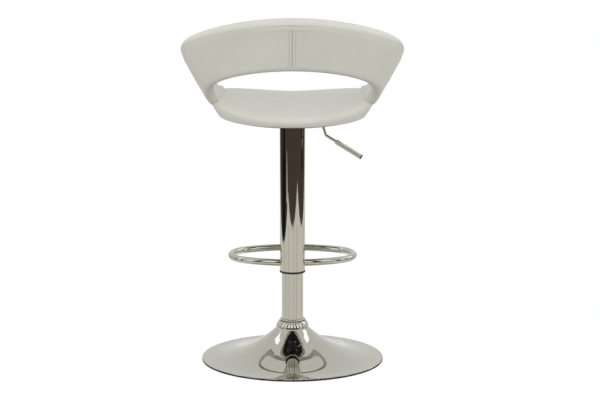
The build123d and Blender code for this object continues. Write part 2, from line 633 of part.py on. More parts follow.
def make_seat():
    board = disc(BOARD_RADIUS, board_z, board_top)
    for x, y in grid(BOLT_SPACING_X, BOLT_SPACING_Y):
        board -= Pos(x, y, 0) * disc(T_NUT_RADIUS + SEAT_GAP, board_z, board_top)
    nodes["seat_board"] = board

    cover = disc(BOARD_RADIUS - SLIDE_GAP, board_z - UNDER_COVER_THICK, board_z)
    cover -= Pos(0, 0, board_z - UNDER_COVER_THICK) * Box(
        MOUNT_PLATE_LENGTH + 2 * PLATE_CLEARANCE,
        MOUNT_PLATE_WIDTH + 2 * PLATE_CLEARANCE,
        UNDER_COVER_THICK,
        align=(Align.CENTER, Align.CENTER, Align.MIN),
    )
    nodes["under_cover"] = cover

    cushion = cushion_form(0)
    cushion -= disc(BOARD_RADIUS + SOFT_GAP, cushion_z, board_top + SEAT_GAP)
    for x, y in grid(BOLT_SPACING_X, BOLT_SPACING_Y):
        nut_space = disc(T_NUT_FLANGE_RADIUS + SOFT_GAP, board_top, board_top + 2 * T_NUT_FLANGE_THICK)
        cushion -= Pos(x, y, 0) * nut_space
    for side in (-1, 1):
        cushion -= bracket_form(side, SOFT_GAP)
    nodes["seat_cushion"] = cushion


# ------------------------------------------------------------------------- back
def back_line(turn):
    """Foot line of the band: turn runs from 0 at the rear to 1 at the arm's end.

    Gives the place and the heading, which is 0 at the rear and a right angle at the side.
    """
    if turn <= 0.5:
        angle = turn * math.pi
        depth = BACK_REAR_DEPTH
        along = (BACK_FOOT_HALF_WIDTH * math.cos(angle), depth * math.sin(angle))
        place = (BACK_FOOT_HALF_WIDTH * math.sin(angle), BACK_CENTRE_Y - depth * math.cos(angle))
    else:
        angle = (2 * turn - 1) * math.asin(BACK_ARM_LENGTH / BACK_FRONT_DEPTH)
        depth = BACK_FRONT_DEPTH
        along = (-BACK_FOOT_HALF_WIDTH * math.sin(angle), depth * math.cos(angle))
        place = (BACK_FOOT_HALF_WIDTH * math.cos(angle), BACK_CENTRE_Y + depth * math.sin(angle))
    return *place, math.atan2(along[1], along[0])


def side_share(heading):
    """0 at the rear, rising smoothly to 1 where the band runs straight forwards."""
    return math.sin(heading) ** 2


def back_lean(heading):
    """The band leans out a little at the rear and most at the sides."""
    return math.radians(BACK_REAR_LEAN + (BACK_SIDE_LEAN - BACK_REAR_LEAN) * side_share(heading))


def back_edges(y):
    """Heights of the band's lower and upper edges at a distance forwards.

    The upper edge falls ever more steeply, then levels off along the arm. The
    lower edge is an arch that runs out softly along the seat.
    """
    run = y - (BACK_CENTRE_Y - BACK_REAR_DEPTH)
    whole_run = BACK_REAR_DEPTH + BACK_ARM_LENGTH
    steeper = (BACK_END_FALL - BACK_REAR_FALL) / (2 * whole_run)
    falling = BACK_HEIGHT - BACK_REAR_FALL * run - steeper * run ** 2
    above = falling - BACK_ARM_HEIGHT
    upper = BACK_ARM_HEIGHT + (above + math.hypot(above, BACK_ARM_SOFTNESS)) / 2

    def softened(share):
        return (share + math.hypot(share, BACK_LANDING_SOFTNESS)) / 2

    share = (BACK_CENTRE_Y - BACK_LANDING - y) / (BACK_REAR_DEPTH - BACK_LANDING)
    lower = BACK_ARCH_HEIGHT * (softened(share) / softened(1.0)) ** BACK_ARCH_POWER
    return back_foot_z + lower, back_foot_z + upper


def back_bow(y, share):
    """How far the middle of the section at a distance forwards bows out of its chord."""
    lower, upper = back_edges(y)
    fullest = BACK_REAR_BOW + (BACK_SIDE_BOW - BACK_REAR_BOW) * share
    return fullest * min((upper - lower) / BACK_BOW_HEIGHT, 1.0) ** 2


def bowed_bar(half_height, half_depth, bow, whole_half_height):
    """A section with round ends and two faces on the parabola of the whole band's bow."""
    end = half_height - half_depth
    end_bow = bow * (1 - (end / whole_half_height) ** 2)
    tip_bow = bow * (1 - (half_height / whole_half_height) ** 2)
    outer = ThreePointArc((-end, end_bow + half_depth), (0, bow + half_depth), (end, end_bow + half_depth))
    upper = ThreePointArc((end, end_bow + half_depth), (half_height, tip_bow), (end, end_bow - half_depth))
    inner = ThreePointArc((end, end_bow - half_depth), (0, bow - half_depth), (-end, end_bow - half_depth))
    lower = ThreePointArc((-end, end_bow - half_depth), (-half_height, tip_bow), (-end, end_bow + half_depth))
    return make_face([outer, upper, inner, lower])


def back_form(thick, arm_thick, margin, shorter):
    """A band lofted through bowed sections; margin is left free above and below."""
    end_angle = math.asin(BACK_ARM_LENGTH / BACK_FRONT_DEPTH)
    last = 0.5 + 0.5 * math.asin((BACK_ARM_LENGTH - shorter) / BACK_FRONT_DEPTH) / end_angle
    turns = [0.5 * i / BACK_STATIONS for i in range(BACK_STATIONS)]
    turns += [0.5 + (last - 0.5) * i / BACK_STATIONS for i in range(BACK_STATIONS + 1)]
    turns = [-turn for turn in reversed(turns[1:])] + turns
    sections = []
    for turn in turns:
        x, y, heading = back_line(abs(turn))
        side = 1 if turn >= 0 else -1
        lean = back_lean(heading)
        lower, upper = back_edges(y)
        middle = (lower + upper) / 2
        whole_height = (upper - lower) / math.cos(lean)
        height = whole_height - 2 * margin
        share = side_share(heading)
        depth = min(thick + (arm_thick - thick) * share, BACK_FLATTEST * height)
        along = Vector(math.cos(heading), side * math.sin(heading), 0)
        outward = Vector(side * math.sin(heading), -math.cos(heading), 0)
        upward = Vector(0, 0, 1) * math.cos(lean) + outward * math.sin(lean)
        place = Vector(side * x, y, middle) + outward * ((middle - back_foot_z) * math.tan(lean))
        plane = Plane(place, x_dir=upward, z_dir=along)
        bar = bowed_bar(height / 2, depth / 2, back_bow(y, share), whole_height / 2)
        sections.append(plane * bar)
    return loft(sections)


def screw(place, direction):
    """A wood screw with a flat round head, whose seat is at place."""
    seat = Plane(place, z_dir=direction)
    shank = seat * disc(BRACKET_SCREW_RADIUS, -BRACKET_SCREW_LENGTH, 0)
    head = seat * disc(BRACKET_SCREW_HEAD, 0, BRACKET_SCREW_HEAD_THICK)
    return shank + head


def screw_space(place, direction, gap):
    seat = Plane(place, z_dir=direction)
    shank = seat * disc(BRACKET_SCREW_RADIUS + gap, -BRACKET_SCREW_LENGTH - gap, 0)
    head = seat * disc(BRACKET_SCREW_HEAD + gap, 0, BRACKET_SCREW_HEAD_THICK + gap)
    return shank + head


def bracket_screw_places(side):
    """Where the heads sit: two on the bracket's foot and two on its upright."""
    lean = math.radians(BACK_SIDE_LEAN)
    bend_x = bracket_bend_x()
    foot_x = bend_x - BRACKET_FOOT / 2
    rise = BRACKET_RISE - 2 * BRACKET_SCREW_HEAD
    inward = Vector(-side * math.cos(lean), 0, math.sin(lean))
    upright = Vector(
        side * (bend_x + rise * math.sin(lean)),
        0,
        board_top + BRACKET_THICK / 2 + rise * math.cos(lean),
    )
    places = []
    for step in (-1, 1):
        shift = Vector(0, BRACKET_Y + step * BRACKET_SCREW_SPACING / 2, 0)
        places.append((Vector(side * foot_x, 0, board_top + BRACKET_THICK) + shift, Vector(0, 0, 1)))
        places.append((upright + inward * (BRACKET_THICK / 2) + shift, inward))
    return places


def make_back():
    panel = back_form(PANEL_THICK, PANEL_THICK, PANEL_MARGIN, PANEL_SHORTER)
    space_thick = PANEL_THICK + 2 * SOFT_GAP
    band = back_form(BACK_THICK, BACK_ARM_THICK, 0, 0)
    band -= back_form(space_thick, space_thick, PANEL_MARGIN - SOFT_GAP, PANEL_SHORTER - SOFT_GAP)
    band -= cushion_form(SOFT_GAP)
    screws = []
    for side, name in ((-1, "bracket_left"), (1, "bracket_right")):
        bracket = bracket_form(side, 0)
        band -= bracket_form(side, SOFT_GAP)
        for place, direction in bracket_screw_places(side):
            space = screw_space(place, direction, SEAT_GAP)
            bracket -= space
            panel -= space
            nodes["seat_board"] -= space
            band -= screw_space(place, direction, SOFT_GAP)
            nodes["seat_cushion"] -= screw_space(place, direction, SOFT_GAP)
            screws.append(screw(place, direction))
        nodes[name] = bracket
    nodes["bracket_screws"] = Compound(children=screws)
    nodes["back_panel"] = panel
    nodes["back_cushion"] = band


make_foot()
make_collar()
make_socket()
make_column()
make_rod()
make_cylinder()
make_sleeve()
make_footrest()
make_mechanism()
make_lever()
make_seat()
make_back()

for name, shape in nodes.items():
    export_step(shape, f"parts/{name}.step")
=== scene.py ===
import json
import math

import bpy
import numpy as np
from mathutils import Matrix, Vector


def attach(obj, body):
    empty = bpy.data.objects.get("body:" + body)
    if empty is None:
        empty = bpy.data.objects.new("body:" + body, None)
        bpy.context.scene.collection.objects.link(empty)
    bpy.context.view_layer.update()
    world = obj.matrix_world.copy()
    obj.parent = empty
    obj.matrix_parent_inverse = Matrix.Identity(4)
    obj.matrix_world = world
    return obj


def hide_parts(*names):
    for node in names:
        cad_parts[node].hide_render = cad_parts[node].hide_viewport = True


# Gas-lift swivel stool with a wrap-round back, dressed over its solid model.
# Metres. +Z is up, +Y is the sitter's front, +X is the sitter's right.

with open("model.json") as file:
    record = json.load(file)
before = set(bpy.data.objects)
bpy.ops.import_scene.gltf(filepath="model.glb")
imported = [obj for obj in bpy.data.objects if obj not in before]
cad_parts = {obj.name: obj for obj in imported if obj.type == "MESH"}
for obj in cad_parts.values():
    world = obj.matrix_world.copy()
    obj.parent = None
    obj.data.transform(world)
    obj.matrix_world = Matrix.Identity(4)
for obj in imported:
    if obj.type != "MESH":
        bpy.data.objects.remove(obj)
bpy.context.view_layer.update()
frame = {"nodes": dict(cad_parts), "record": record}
nodes = frame["nodes"]

# ------------------------------------------------------------ sizes of the upholstery
# Back band: the same lines as its solid, drawn in by the cover's fullness.
FOOT_Z = 0.600
FOOT_HALF_WIDTH = 0.1698
BAND_CENTRE_Y = -0.030
REAR_DEPTH = 0.1304
FRONT_DEPTH = 0.345
ARM_LENGTH = 0.140
REAR_THICK = 0.034
ARM_THICK = 0.026
BAND_HEIGHT = 0.2384
ARCH_HEIGHT = 0.111
REAR_FALL = 0.57
END_FALL = 1.43
ARM_HEIGHT = 0.028
ARM_SOFTNESS = 0.020
LANDING = 0.0066
LANDING_SOFTNESS = 0.05
ARCH_POWER = 0.62
REAR_LEAN = 12.9
SIDE_LEAN = 28.1
REAR_BOW = 0.001
SIDE_BOW = 0.0086
BOW_HEIGHT = 0.150
BAND_ROUNDING = 0.48          # edge radius as a share of the thickness
END_ROUND = 0.020             # length of the rounding at the arm's end
BAND_FULLNESS = 0.0025        # how far the filling swells the cover
BAND_EVENNESS = 4.0           # rows of the cloth grid over which the stiff cover bridges
BAND_COARSE = (151, 56)       # rows and columns of the grid that the cloth is worked out on
BAND_FINE = (401, 171)        # and of the one that is shown
BAND_PRESSURE = 4.0
END_TALL_SHARE = 0.35         # share of its height the band keeps at the very end of an arm
END_LEAST = 0.0004            # least square of the end's rounding, so that no ring closes up

# Seams of the band, as shares of the way round its section from the top's middle
TOP_SEAM = 0.076
LOWER_SEAM = 0.115
HEM_SEAM = 0.424
SEAM_DEPTH = 0.0017
SEAM_WIDTH = 0.0012
SEAM_REACH = 0.055            # the sewing across the band pulls less, this far from its middle
SEAM_LEAST = 0.12             # and keeps this share of its depth at the arms
CENTRE_DEPTH = 0.0028
CENTRE_WIDTH = 0.0010
CENTRE_ON_ROLL = 0.3          # share of the middle seam's depth over the padded top
TOPSTITCH_DEPTH = 0.0007
TOPSTITCH_WIDTH = 0.0009
TOPSTITCH_OFFSET = 0.0068
STITCH_LENGTH = 0.0032
STITCH_GAP = 0.0012
STITCH_FREE_ROWS = 12         # rows of the shown grid left unsewn at each arm's end
THREAD_RADIUS = 0.00035

# Where the band's grids lie closer together: half widths as shares, and how much closer
SEAM_CLEAR = 0.008
SEAM_CROWD = 3.0
CENTRE_CLEAR = 0.02
CENTRE_CROWD = 5.0
UNDERSIDE_HELD = 0.02         # share of the way round that stays put on the arch

# Seat cushion
SEAT_FOOT_Z = 0.5745
SEAT_EDGE_Z = 0.620
SEAT_FOOT_DEPTH = 0.165
SEAT_FOOT_HALF_WIDTH = 0.171
SEAT_HALF_WIDTH = 0.197
SEAT_REAR = 0.178
SEAT_FRONT = 0.192
SEAT_SQUARENESS = 3.4
SEAT_DISH = 0.014
SEAT_DISH_HALF_WIDTH = 0.165
SEAT_TOP_ROUND = 0.024
SEAT_REAR_ROUND = 0.046       # the soft roll at the sitter's back
SEAT_ROLL_SHARE = 0.78        # the most of the side's height that a roll takes
SEAT_FOOT_ROUND = 0.005
SEAT_FULLNESS = 0.003
SEAT_PRESSURE = 3.0
SEAT_COLUMNS_COARSE = 120
SEAT_COLUMNS_FINE = 300
SEAT_STEPS_FINE = 3           # rings of the shown grid to each ring of the cloth's grid
SEAT_POLE_SHARE = 0.015       # the least ring of the top, as a share of its radius
SEAT_WELL_SHARE = 0.97        # how far the last ring closes the space for the board
BOARD_SPACE_RADIUS = 0.1524
BOARD_SPACE_TOP = 0.5884

# Rubber lips round the sleeve and the base
LIP_PROUD = 0.0003            # how far a lip stands out from the part it is moulded on
LIP_GRIP = 0.0008             # and how far it reaches into that part
LIP_EDGE = 0.0004
LIP_STEPS = 180
RUBBER_LIPS = {               # body, slot, radius of the part, foot and height
    "sleeve_lip": ("seat", "black_plastic", 0.02925, 0.2076, 0.0050),
    "floor_lip": ("base", "black_rubber", 0.210, 0.0002, 0.0038),
}


# --------------------------------------------------------------------- mesh helpers
def put_mesh(name, points, faces, smooth=True):
    """A mesh object at the origin from an array of points and an array of faces."""
    mesh = bpy.data.meshes.new(name)
    mesh.from_pydata(points.tolist(), [], faces)
    mesh.polygons.foreach_set("use_smooth", np.full(len(mesh.polygons), smooth))
    mesh.update()
    piece = bpy.data.objects.new(name, mesh)
    bpy.context.scene.collection.objects.link(piece)
    return piece


def tube_faces(rows, columns):
    """Quads of a grid whose rows are closed rings, as vertex numbers row by row."""
    row = np.arange(rows - 1)[:, None]
    column = np.arange(columns)[None, :]
    following = (column + 1) % columns
    return np.stack(
        [
            row * columns + column,
            (row + 1) * columns + column,
            (row + 1) * columns + following,
            row * columns + following,
        ],
        axis=-1,
    ).reshape(-1, 4)


def fan_faces(ring_start, columns, pole, outward):
    """Triangles from one ring to its pole."""
    column = np.arange(columns)
    following = (column + 1) % columns
    pair = (ring_start + column, ring_start + following)
    first, second = pair if outward else pair[::-1]
    return np.stack([first, second, np.full(columns, pole)], axis=-1)


def closed_tube(name, grid):
    """A grid of closed rings (rows, columns, 3) with a pole at each end, faces outwards."""
    rows, columns, _ = grid.shape
    poles = np.stack([grid[0].mean(axis=0), grid[-1].mean(axis=0)])
    points = np.concatenate([grid.reshape(-1, 3), poles])
    count = rows * columns
    faces = tube_faces(rows, columns).tolist()
    faces += fan_faces(0, columns, count, True).tolist()
    faces += fan_faces(count - columns, columns, count + 1, False).tolist()
    return put_mesh(name, points, faces)


def grid_normals(grid):
    """Outward unit normals of a grid of closed rings, from the cross product of its two slopes."""
    along = np.gradient(grid, axis=0)
    round_it = np.roll(grid, -1, axis=1) - np.roll(grid, 1, axis=1)
    normal = np.cross(round_it, along)
    length = np.linalg.norm(normal, axis=-1, keepdims=True)
    return normal / np.maximum(length, 1e-9)


# ---------------------------------------------------------------------- band's shape
def band_place(turn):
    """Foot point, heading and side of the band: half an ellipse round the rear, then a
    quarter of a longer ellipse towards the front. turn runs -1 .. 0 .. 1 from arm to arm."""
    side = np.where(turn < 0, -1.0, 1.0)
    part = np.abs(turn)
    rear_angle = np.minimum(part, 0.5) * np.pi
    arm_angle = np.maximum(2 * part - 1, 0) * np.arcsin(ARM_LENGTH / FRONT_DEPTH)
    on_rear = part <= 0.5
    x = np.where(on_rear, np.sin(rear_angle), np.cos(arm_angle)) * FOOT_HALF_WIDTH
    y = np.where(on_rear, -REAR_DEPTH * np.cos(rear_angle), FRONT_DEPTH * np.sin(arm_angle))
    heading = np.where(
        on_rear,
        np.arctan2(REAR_DEPTH * np.sin(rear_angle), FOOT_HALF_WIDTH * np.cos(rear_angle)),
        np.arctan2(FRONT_DEPTH * np.cos(arm_angle), -FOOT_HALF_WIDTH * np.sin(arm_angle)),
    )
    foot = np.stack([side * x, BAND_CENTRE_Y + y, np.full_like(x, FOOT_Z)], axis=-1)
    return foot, heading, side


def softened(share):
    """A ramp that leaves nought gently: half of share plus its length with the softness."""
    return (share + np.hypot(share, LANDING_SOFTNESS)) / 2


def band_edges(y):
    """Heights of the top and the lower edge at each y: a falling parabola that levels off
    along the arm, over a soft arch."""
    run = y + REAR_DEPTH - BAND_CENTRE_Y
    whole_run = REAR_DEPTH + ARM_LENGTH
    falling = BAND_HEIGHT - REAR_FALL * run - (END_FALL - REAR_FALL) / (2 * whole_run) * run ** 2
    above = falling - ARM_HEIGHT
    top = ARM_HEIGHT + (above + np.hypot(above, ARM_SOFTNESS)) / 2
    share = (BAND_CENTRE_Y - LANDING - y) / (REAR_DEPTH - LANDING)
    rise = np.clip(softened(share) / softened(1.0), 0, None)
    return FOOT_Z + top, FOOT_Z + ARCH_HEIGHT * rise ** ARCH_POWER


def band_surface(turns, rounds, inset):
    """Points of the band at each place along it (turns) and round its section (rounds).
    The section is an upright rounded bar, nine runs long: straight lines with four quarter
    circles between them, a across it and b up it. rounds 0 .. 1 go down the outer face from the
    middle of the top edge, under, and up the inner face. The outer face bows out on a
    parabola, and thicker padding fills the inner face flat over the panel and its straps.
    Near an arm's end the section shrinks as a quarter circle does."""
    foot, heading, side = band_place(turns)
    share = np.sin(heading) ** 2
    lean = np.radians(REAR_LEAN + (SIDE_LEAN - REAR_LEAN) * share)
    top, low = band_edges(foot[:, 1])
    tall = (top - low) / np.cos(lean)
    thick = np.minimum(REAR_THICK + (ARM_THICK - REAR_THICK) * share, tall) - 2 * inset
    half_tall = tall / 2 - inset
    half_thick = thick / 2
    outward = np.stack([side * np.sin(heading), -np.cos(heading), np.zeros_like(heading)], axis=-1)
    upright = np.array([0.0, 0.0, 1.0])
    upward = upright * np.cos(lean)[:, None] + outward * np.sin(lean)[:, None]
    across = outward * np.cos(lean)[:, None] - upright * np.sin(lean)[:, None]
    middle = foot + outward * (((top + low) / 2 - FOOT_Z) * np.tan(lean))[:, None]
    middle[:, 2] = (top + low) / 2

    steps = np.concatenate([[0], np.cumsum(np.linalg.norm(np.diff(middle, axis=0), axis=1))])
    to_end = np.minimum(steps, steps[-1] - steps)
    shrink = np.sqrt(np.clip(1 - np.clip(1 - to_end / END_ROUND, 0, 1) ** 2, END_LEAST, 1))
    half_tall = half_tall * (END_TALL_SHARE + (1 - END_TALL_SHARE) * shrink)
    half_thick = half_thick * shrink

    corner = 2 * half_thick * BAND_ROUNDING
    straight_tall = half_tall - corner
    straight_thick = half_thick - corner
    arc = corner * np.pi / 2
    flat, side_flat = 2 * straight_thick, 2 * straight_tall
    lengths = np.stack(
        [flat / 2, arc, side_flat, arc, flat, arc, side_flat, arc, flat / 2],
        axis=-1,
    )
    ends = np.cumsum(lengths, axis=-1)
    starts = ends - lengths
    travel = rounds[None, :] * ends[:, -1:]
    run = np.clip(travel[..., None] - starts[:, None, :], 0, lengths[:, None, :])
    turned = run[..., [1, 3, 5, 7]] / np.maximum(arc, 1e-9)[:, None, None] * np.pi / 2
    corner = corner[:, None]
    a = run[..., 0] - run[..., 4] + run[..., 8]
    a = a + corner * (np.sin(turned[..., 0]) - (1 - np.cos(turned[..., 1])))
    a = a + corner * (-np.sin(turned[..., 2]) + (1 - np.cos(turned[..., 3])))
    b = half_tall[:, None] - run[..., 2] + run[..., 6]
    b = b + corner * (-(1 - np.cos(turned[..., 0])) - np.sin(turned[..., 1]))
    b = b + corner * ((1 - np.cos(turned[..., 2])) + np.sin(turned[..., 3]))
    fullest = (REAR_BOW + (SIDE_BOW - REAR_BOW) * share) * np.minimum((top - low) / BOW_HEIGHT, 1) ** 2
    outer = np.clip(0.5 + a / (2 * half_thick[:, None]), 0, 1)
    a = a + fullest[:, None] * outer * (1 - (b / (tall / 2)[:, None]) ** 2)
    grid = middle[:, None, :] + a[..., None] * across[:, None, :] + b[..., None] * upward[:, None, :]
    return grid, travel, steps


def spread(count, dense_places, width, share):
    """Places from 0 to 1 that lie closer together near the dense places."""
    fine = np.linspace(0, 1, 4000)
    weight = np.ones_like(fine)
    for place in dense_places:
        weight = weight + share * np.exp(-(((fine - place) / width) ** 2))
    total = np.cumsum(weight)
    total = (total - total[0]) / (total[-1] - total[0])
    return np.interp(np.linspace(0, 1, count), total, fine)


def swell(name, grid, held, pressure, fullness, frames=20):
    """Cloth pressure on the coarse grid, held at its seams. Gives the shift of each point,
    scaled so that the fullest places move by the given fullness, and none moves further."""
    piece = closed_tube(name, grid)
    rows, columns, _ = grid.shape
    pins = piece.vertex_groups.new(name="seams")
    pins.add(np.flatnonzero(held.reshape(-1)).tolist(), 1.0, "REPLACE")
    cloth = piece.modifiers.new("Cloth", "CLOTH")
    cloth.settings.quality = 6
    cloth.settings.mass = 0.35
    cloth.settings.tension_stiffness = 18
    cloth.settings.compression_stiffness = 18
    cloth.settings.shear_stiffness = 8
    cloth.settings.bending_stiffness = 2
    cloth.settings.air_damping = 4
    cloth.settings.use_pressure = True
    cloth.settings.uniform_pressure_force = pressure
    cloth.settings.effector_weights.gravity = 0
    cloth.settings.vertex_group_mass = "seams"
    cloth.collision_settings.use_collision = False
    scene = bpy.context.scene
    for step in range(1, frames + 1):
        scene.frame_set(step)
    shaped = piece.evaluated_get(bpy.context.evaluated_depsgraph_get())
    points = np.empty(len(shaped.data.vertices) * 3, np.float32)
    shaped.data.vertices.foreach_get("co", points)
    scene.frame_set(1)
    bpy.data.objects.remove(piece)
    shift = points.reshape(-1, 3)[: rows * columns].reshape(grid.shape) - grid
    moved = np.linalg.norm(shift, axis=-1, keepdims=True)
    scale = fullness / max(np.percentile(moved, 97), 1e-9)
    return shift * np.minimum(scale, fullness / np.maximum(moved, 1e-9))


def evened(shift, rows):
    """The shift averaged along the piece with a bell curve so many rows wide."""
    reach = int(3 * rows)
    weight = np.exp(-(np.arange(-reach, reach + 1) / rows) ** 2)
    padded = np.pad(shift, ((reach, reach), (0, 0), (0, 0)), mode="edge")
    layers = [padded[k:k + len(shift)] * share for k, share in enumerate(weight / weight.sum())]
    return np.sum(layers, axis=0)


def carry(shift, rows_from, columns_from, rows_to, columns_to):
    """The coarse grid's shift read at the fine grid's places, row by row and round each ring."""
    source = np.concatenate([shift, shift[:, :1]], axis=1)
    place = np.interp(rows_to, rows_from, np.arange(len(rows_from)))
    low = np.clip(np.floor(place).astype(int), 0, len(rows_from) - 2)
    part = (place - low)[:, None, None]
    between = source[low] * (1 - part) + source[low + 1] * part
    ring_from = np.concatenate([columns_from, [1.0]])
    place = np.interp(columns_to, ring_from, np.arange(len(ring_from)))
    low = np.clip(np.floor(place).astype(int), 0, len(ring_from) - 2)
    part = (place - low)[None, :, None]
    return between[:, low] * (1 - part) + between[:, low + 1] * part


def dent(distance, width):
    """The depth of a sewn line at a distance from it, as a share: a bell curve."""
    return np.exp(-((distance / width) ** 2))


# ------------------------------------------------------------------------ upholstery
def even_turns(count, dense_share=0.0):
    """Turns from arm to arm at even steps of the foot line, closer together at the middle."""
    fine = np.linspace(-1, 1, 4000)
    foot, _, _ = band_place(fine)
    way = np.concatenate([[0], np.cumsum(np.linalg.norm(np.diff(foot, axis=0), axis=1))])
    return np.interp(spread(count, [0.5], CENTRE_CLEAR, dense_share) * way[-1], way, fine)


def dress_band(cover, thread):
    """The back and both arms in one padded cover, with its sewn lines and their stitches."""
    seams = np.array([TOP_SEAM, LOWER_SEAM, HEM_SEAM, 1 - HEM_SEAM, 1 - TOP_SEAM])
    coarse_turns = even_turns(BAND_COARSE[0])
    regular = np.arange(BAND_COARSE[1]) / BAND_COARSE[1]
    apart = np.abs(regular[:, None] - seams[None, :]).min(axis=1) > SEAM_CLEAR
    coarse_rounds = np.sort(np.concatenate([regular[apart], seams]))
    coarse, _, _ = band_surface(coarse_turns, coarse_rounds, BAND_FULLNESS)
    held = np.isin(coarse_rounds, seams)[None, :] | (np.abs(coarse_turns) < 1e-6)[:, None]
    held = held | (np.abs(coarse_rounds - 0.5) < UNDERSIDE_HELD)[None, :]
    shift = swell("band_filling", coarse, held, BAND_PRESSURE, BAND_FULLNESS)
    shift = evened(shift, BAND_EVENNESS)

    fine_turns = even_turns(BAND_FINE[0], CENTRE_CROWD)
    dense = np.concatenate([seams, [0.5]])
    fine_rounds = spread(BAND_FINE[1], dense, SEAM_CLEAR, SEAM_CROWD)[:-1]
    grid, travel, steps = band_surface(fine_turns, fine_rounds, BAND_FULLNESS)
    grid = grid + carry(shift, coarse_turns, coarse_rounds, fine_turns, fine_rounds)
    normals = grid_normals(grid)
    whole = travel[:, -1:] / fine_rounds[-1]
    middle = steps[len(steps) // 2]
    across = np.abs(steps - middle)[:, None]
    on_faces = (fine_rounds > LOWER_SEAM) & (fine_rounds < HEM_SEAM)
    on_faces = on_faces | ((fine_rounds > 1 - HEM_SEAM) & (fine_rounds < 1 - TOP_SEAM))
    pull = SEAM_LEAST + (1 - SEAM_LEAST) * dent(across, SEAM_REACH)
    depth = CENTRE_DEPTH * dent(across, CENTRE_WIDTH) * np.where(on_faces, 1.0, CENTRE_ON_ROLL)
    for place in (TOP_SEAM, 1 - TOP_SEAM):
        depth = np.maximum(depth, SEAM_DEPTH * pull * dent(travel - place * whole, SEAM_WIDTH))
    for place in (LOWER_SEAM, HEM_SEAM, 1 - HEM_SEAM):
        line = dent(travel - place * whole, TOPSTITCH_WIDTH)
        depth = np.maximum(depth, TOPSTITCH_DEPTH * pull * line)
    stitched = TOPSTITCH_DEPTH * dent(across - TOPSTITCH_OFFSET, TOPSTITCH_WIDTH) * on_faces
    depth = np.maximum(depth, stitched)
    band = closed_tube("back_band_cover", grid - normals * depth[..., None])
    finish_soft(band, cover, "back_cushion")

    lines = []
    sewn = slice(STITCH_FREE_ROWS, -STITCH_FREE_ROWS)
    for place in (LOWER_SEAM, HEM_SEAM, 1 - HEM_SEAM):
        column = np.argmin(np.abs(fine_rounds - place))
        lines.append((grid[sewn, column], normals[sewn, column]))
    rounds_down = np.flatnonzero(on_faces)
    for face in np.split(rounds_down, np.flatnonzero(np.diff(rounds_down) > 1) + 1):
        for side in (-1, 1):
            row = np.argmin(np.abs(steps - middle - side * TOPSTITCH_OFFSET))
            lines.append((grid[row, face], normals[row, face]))
    stitches = sew("back_band_stitches", lines)
    stitches.data.materials.append(thread)
    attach(stitches, "seat")


def finish_soft(piece, cover, solid):
    """What every padded piece gets: its cover, its body and the solid it stands for."""
    piece.data.materials.append(cover)
    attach(piece, "seat")
    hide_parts(solid)


def sew(name, lines):
    """Short threads laid end to end along each line: six-sided bars that thin at both ends."""
    sides = 6
    ring = np.arange(sides) * 2 * np.pi / sides
    swelling = np.array([0.25, 1.0, 1.0, 0.25])
    along = np.array([0.0, 0.18, 0.82, 1.0])
    size = sides * len(along)
    pattern = tube_faces(len(along), sides)
    ends = np.array([np.arange(sides), size - 1 - np.arange(sides)])
    points = []
    faces = []
    start = 0
    for line, normals in lines:
        way = np.concatenate([[0], np.cumsum(np.linalg.norm(np.diff(line, axis=0), axis=1))])
        count = int(way[-1] / (STITCH_LENGTH + STITCH_GAP))
        first = np.arange(count) * (STITCH_LENGTH + STITCH_GAP)
        at = first[:, None] + along[None, :] * STITCH_LENGTH
        centre = np.stack([np.interp(at, way, line[:, k]) for k in range(3)], axis=-1)
        up = np.stack([np.interp(at, way, normals[:, k]) for k in range(3)], axis=-1)
        ahead = np.gradient(centre, axis=1)
        ahead /= np.linalg.norm(ahead, axis=-1, keepdims=True)
        up -= ahead * (up * ahead).sum(axis=-1, keepdims=True)
        up /= np.linalg.norm(up, axis=-1, keepdims=True)
        beside = np.cross(ahead, up)
        round_it = up[:, :, None, :] * np.cos(ring)[None, None, :, None]
        round_it = round_it + beside[:, :, None, :] * np.sin(ring)[None, None, :, None]
        bars = centre[:, :, None, :] + round_it * (THREAD_RADIUS * swelling)[None, :, None, None]
        offsets = start + np.arange(count)[:, None, None] * size
        faces += (pattern[None] + offsets).reshape(-1, 4).tolist()
        faces += (ends[None] + offsets).reshape(-1, sides).tolist()
        points.append(bars.reshape(-1, 3))
        start += count * size
    return put_mesh(name, np.concatenate(points), faces)


def seat_outline(angles):
    """Radius of the seat's edge at each angle: half an ellipse at the rear and half a
    squarer superellipse at the front."""
    across = np.abs(np.cos(angles)) / SEAT_HALF_WIDTH
    rear = 1 / np.hypot(across, np.sin(angles) / SEAT_REAR)
    squared = across ** SEAT_SQUARENESS + (np.abs(np.sin(angles)) / SEAT_FRONT) ** SEAT_SQUARENESS
    return np.where(np.sin(angles) > 0, squared ** (-1 / SEAT_SQUARENESS), rear)


def bent(start, corner, end, share):
    """A parabola from start to end whose tangents meet at the corner."""
    share = share[:, None, None]
    return start * (1 - share) ** 2 + corner * 2 * share * (1 - share) + end * share ** 2


